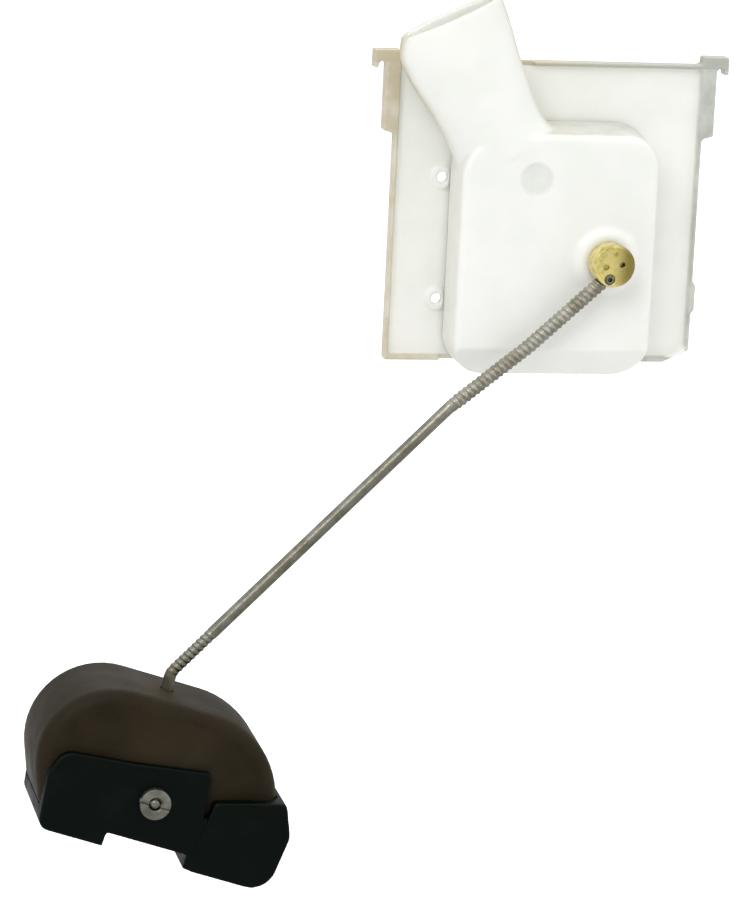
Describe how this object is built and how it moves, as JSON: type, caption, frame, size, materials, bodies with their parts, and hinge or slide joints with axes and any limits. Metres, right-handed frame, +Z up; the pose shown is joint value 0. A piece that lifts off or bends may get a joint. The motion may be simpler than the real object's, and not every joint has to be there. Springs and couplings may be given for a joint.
{
  "type": "float valve",
  "caption": "Float valve: flat mounting plate with a moulded valve box and angled oval neck, brass spindle, long bent wire arm and a block float in a clamped shoe.",
  "frame": {"origin": "centre of the back plate's flat rear face", "axes": "+Y out of the rear mounting face, +X to the right seen from the front, +Z up"},
  "size_m": [0.1807, 0.0445, 0.2276],
  "materials": {
    "milky_housing": "translucent satin moulding",
    "silicone_seal": "soft matt silicone",
    "zinc_steel": "dull zinc plate",
    "brass": "turned, lightly tarnished",
    "black_rubber": "matt",
    "white_acetal": "satin moulding",
    "float_brown": "satin, dark brown ebonite",
    "shoe_black": "satin moulding"
  },
  "bodies": {
    "housing": {"back_plate": "milky_housing", "front_cover": "milky_housing", "cover_seal": "silicone_seal", "cover_screw_1": "zinc_steel", "cover_screw_2": "zinc_steel", "cover_screw_3": "zinc_steel", "cover_screw_4": "zinc_steel", "inlet_strainer": "white_acetal", "valve_nozzle": "brass", "nozzle_seal": "black_rubber", "spindle_bush": "white_acetal", "spindle_seal": "black_rubber", "thrust_washer": "zinc_steel"},
    "float_arm": {"spindle": "brass", "rod_clamp_screw": "zinc_steel", "spindle_clip": "zinc_steel", "crank": "brass", "crank_pin": "zinc_steel", "crank_screw": "zinc_steel", "float_rod": "zinc_steel", "float_body": "float_brown", "float_shoe": "shoe_black", "float_screw": "zinc_steel", "float_washer": "zinc_steel", "float_nut": "zinc_steel"},
    "plunger": {"plunger": "white_acetal", "seat_disc": "black_rubber"}
  },
  "joints": [
    {"name": "float_arm", "type": "hinge", "parent": "housing", "child": "float_arm", "pos_m": [0.0134, -0.0237, -0.0103], "axis": [0, 1, 0], "range_deg": [-30, 20]},
    {"name": "plunger", "type": "slide", "parent": "housing", "child": "plunger", "axis": [-0.4226, 0, 0.9063], "range_m": [-0.0067, 0.0045]}
  ],
  "couplings": [
    {"joint": "plunger", "follows": "float_arm", "m_per_rad": 0.012714}
  ]
}
